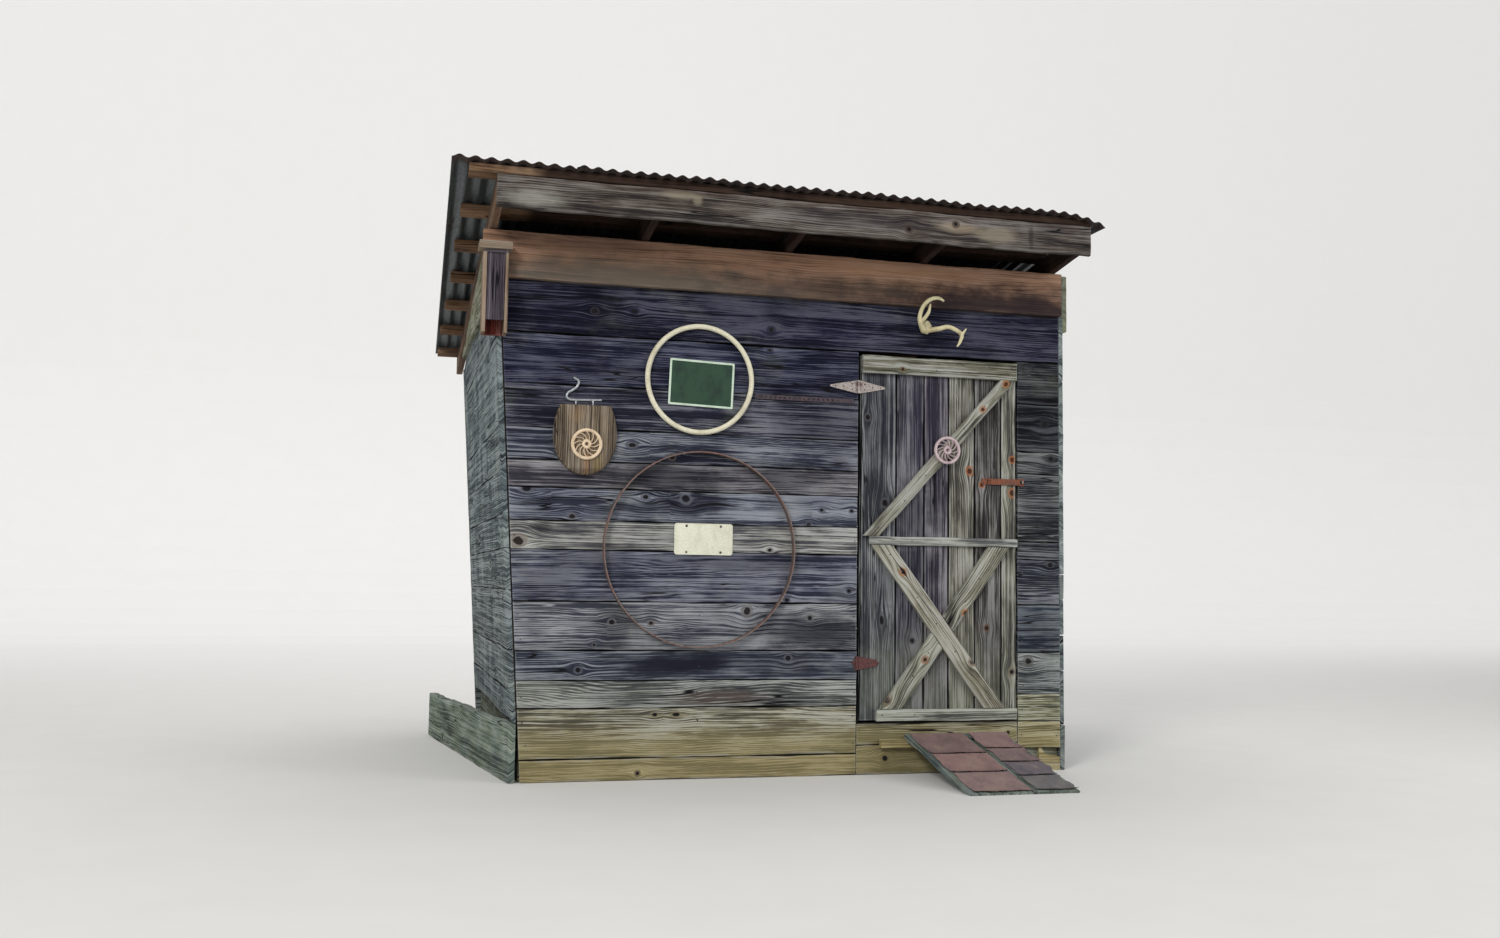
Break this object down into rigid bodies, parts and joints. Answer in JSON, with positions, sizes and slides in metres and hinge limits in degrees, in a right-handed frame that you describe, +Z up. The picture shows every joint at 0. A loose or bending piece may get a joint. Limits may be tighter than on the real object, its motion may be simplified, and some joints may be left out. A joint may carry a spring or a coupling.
{
  "type": "wooden outhouse",
  "caption": "Small lean-to outhouse of rough boards on skids, with a corrugated roof, a braced plank door, a ramp and ornaments on the front.",
  "frame": {"origin": "centre of the footprint, on the underside of the middle floor skid, at ground level", "axes": "+X to the right seen from the front, -Y out of the front, +Z up"},
  "size_m": [3.335, 3.3527, 2.9345],
  "materials": {
    "sill_timber": "weathered ochre rough-sawn timber",
    "inner_timber": "dry brown rough-sawn timber, sheltered from rain",
    "front_siding": "weathered dark grey rough-sawn boards",
    "side_siding": "weathered grey boards with green lichen",
    "header_timber": "warm brown weathered plank",
    "mossy_timber": "weathered board with moss",
    "fascia_timber": "grey-brown weathered board",
    "roof_timber": "brown rough-sawn batten",
    "roof_metal": "dull weathered galvanised corrugated sheet with rust at the edge",
    "ramp_paint": "board with worn brick-red panels and grey-green edges",
    "box_timber": "reddish brown weathered board",
    "cream_paint": "matt cream, a little dirty",
    "sign_paint": "dark green field with a pale border",
    "plate_paint": "satin cream",
    "rusty_iron": "rusty iron",
    "grey_steel": "dull grey steel with rust bloom",
    "lid_timber": "worn olive-brown board",
    "pale_casting": "matt cream",
    "antler_bone": "dull bone with darker bases",
    "door_timber": "grey-khaki weathered planks",
    "brace_timber": "pale grey weathered rails with orange knots"
  },
  "bodies": {
    "building": {"floor_skids": "sill_timber", "floor_joists": "sill_timber", "floor_planks": "inner_timber", "wall_posts": "inner_timber", "top_plates": "inner_timber", "side_plates": "inner_timber", "front_wall_left": "front_siding", "front_wall_right": "front_siding", "front_wall_over_door": "front_siding", "door_sill": "sill_timber", "left_wall": "side_siding", "right_wall": "side_siding", "back_wall": "side_siding", "header_board": "header_timber", "side_frieze_boards": "mossy_timber", "rafters": "roof_timber", "fascia_board": "fascia_timber", "purlins": "roof_timber", "roof_sheets_under": "roof_metal", "roof_sheets_over": "roof_metal", "corner_block": "sill_timber", "skirt_board": "mossy_timber", "ramp_boards": "ramp_paint", "ramp_cleat": "sill_timber", "corner_box": "box_timber", "corner_box_cap": "box_timber", "round_rim": "cream_paint", "sign_plate": "sign_paint", "iron_hoop": "rusty_iron", "number_plate": "plate_paint", "seat_lid": "lid_timber", "lid_hook": "grey_steel", "lid_rosette": "pale_casting", "holed_strap": "rusty_iron", "antlers": "antler_bone", "hinge_wall_leaves": "grey_steel", "hasp_staple": "grey_steel"},
    "door": {"door_planks": "door_timber", "door_rails": "brace_timber", "door_upper_brace": "brace_timber", "door_long_brace": "brace_timber", "door_short_brace": "brace_timber", "door_rosette": "pale_casting", "hinge_door_leaves": "grey_steel", "hasp_plate": "rusty_iron"},
    "hasp": {"hasp_strap": "rusty_iron"}
  },
  "joints": [
    {"name": "door_hinge", "type": "hinge", "parent": "building", "child": "door", "pos_m": [0.28, -1.2273, 1.5], "axis": [0, 0, -1], "range_deg": [0, 150]},
    {"name": "hasp_hinge", "type": "hinge", "parent": "door", "child": "hasp", "pos_m": [1.028, -1.2273, 1.542], "axis": [0, 0, -1], "range_deg": [0, 160]}
  ]
}
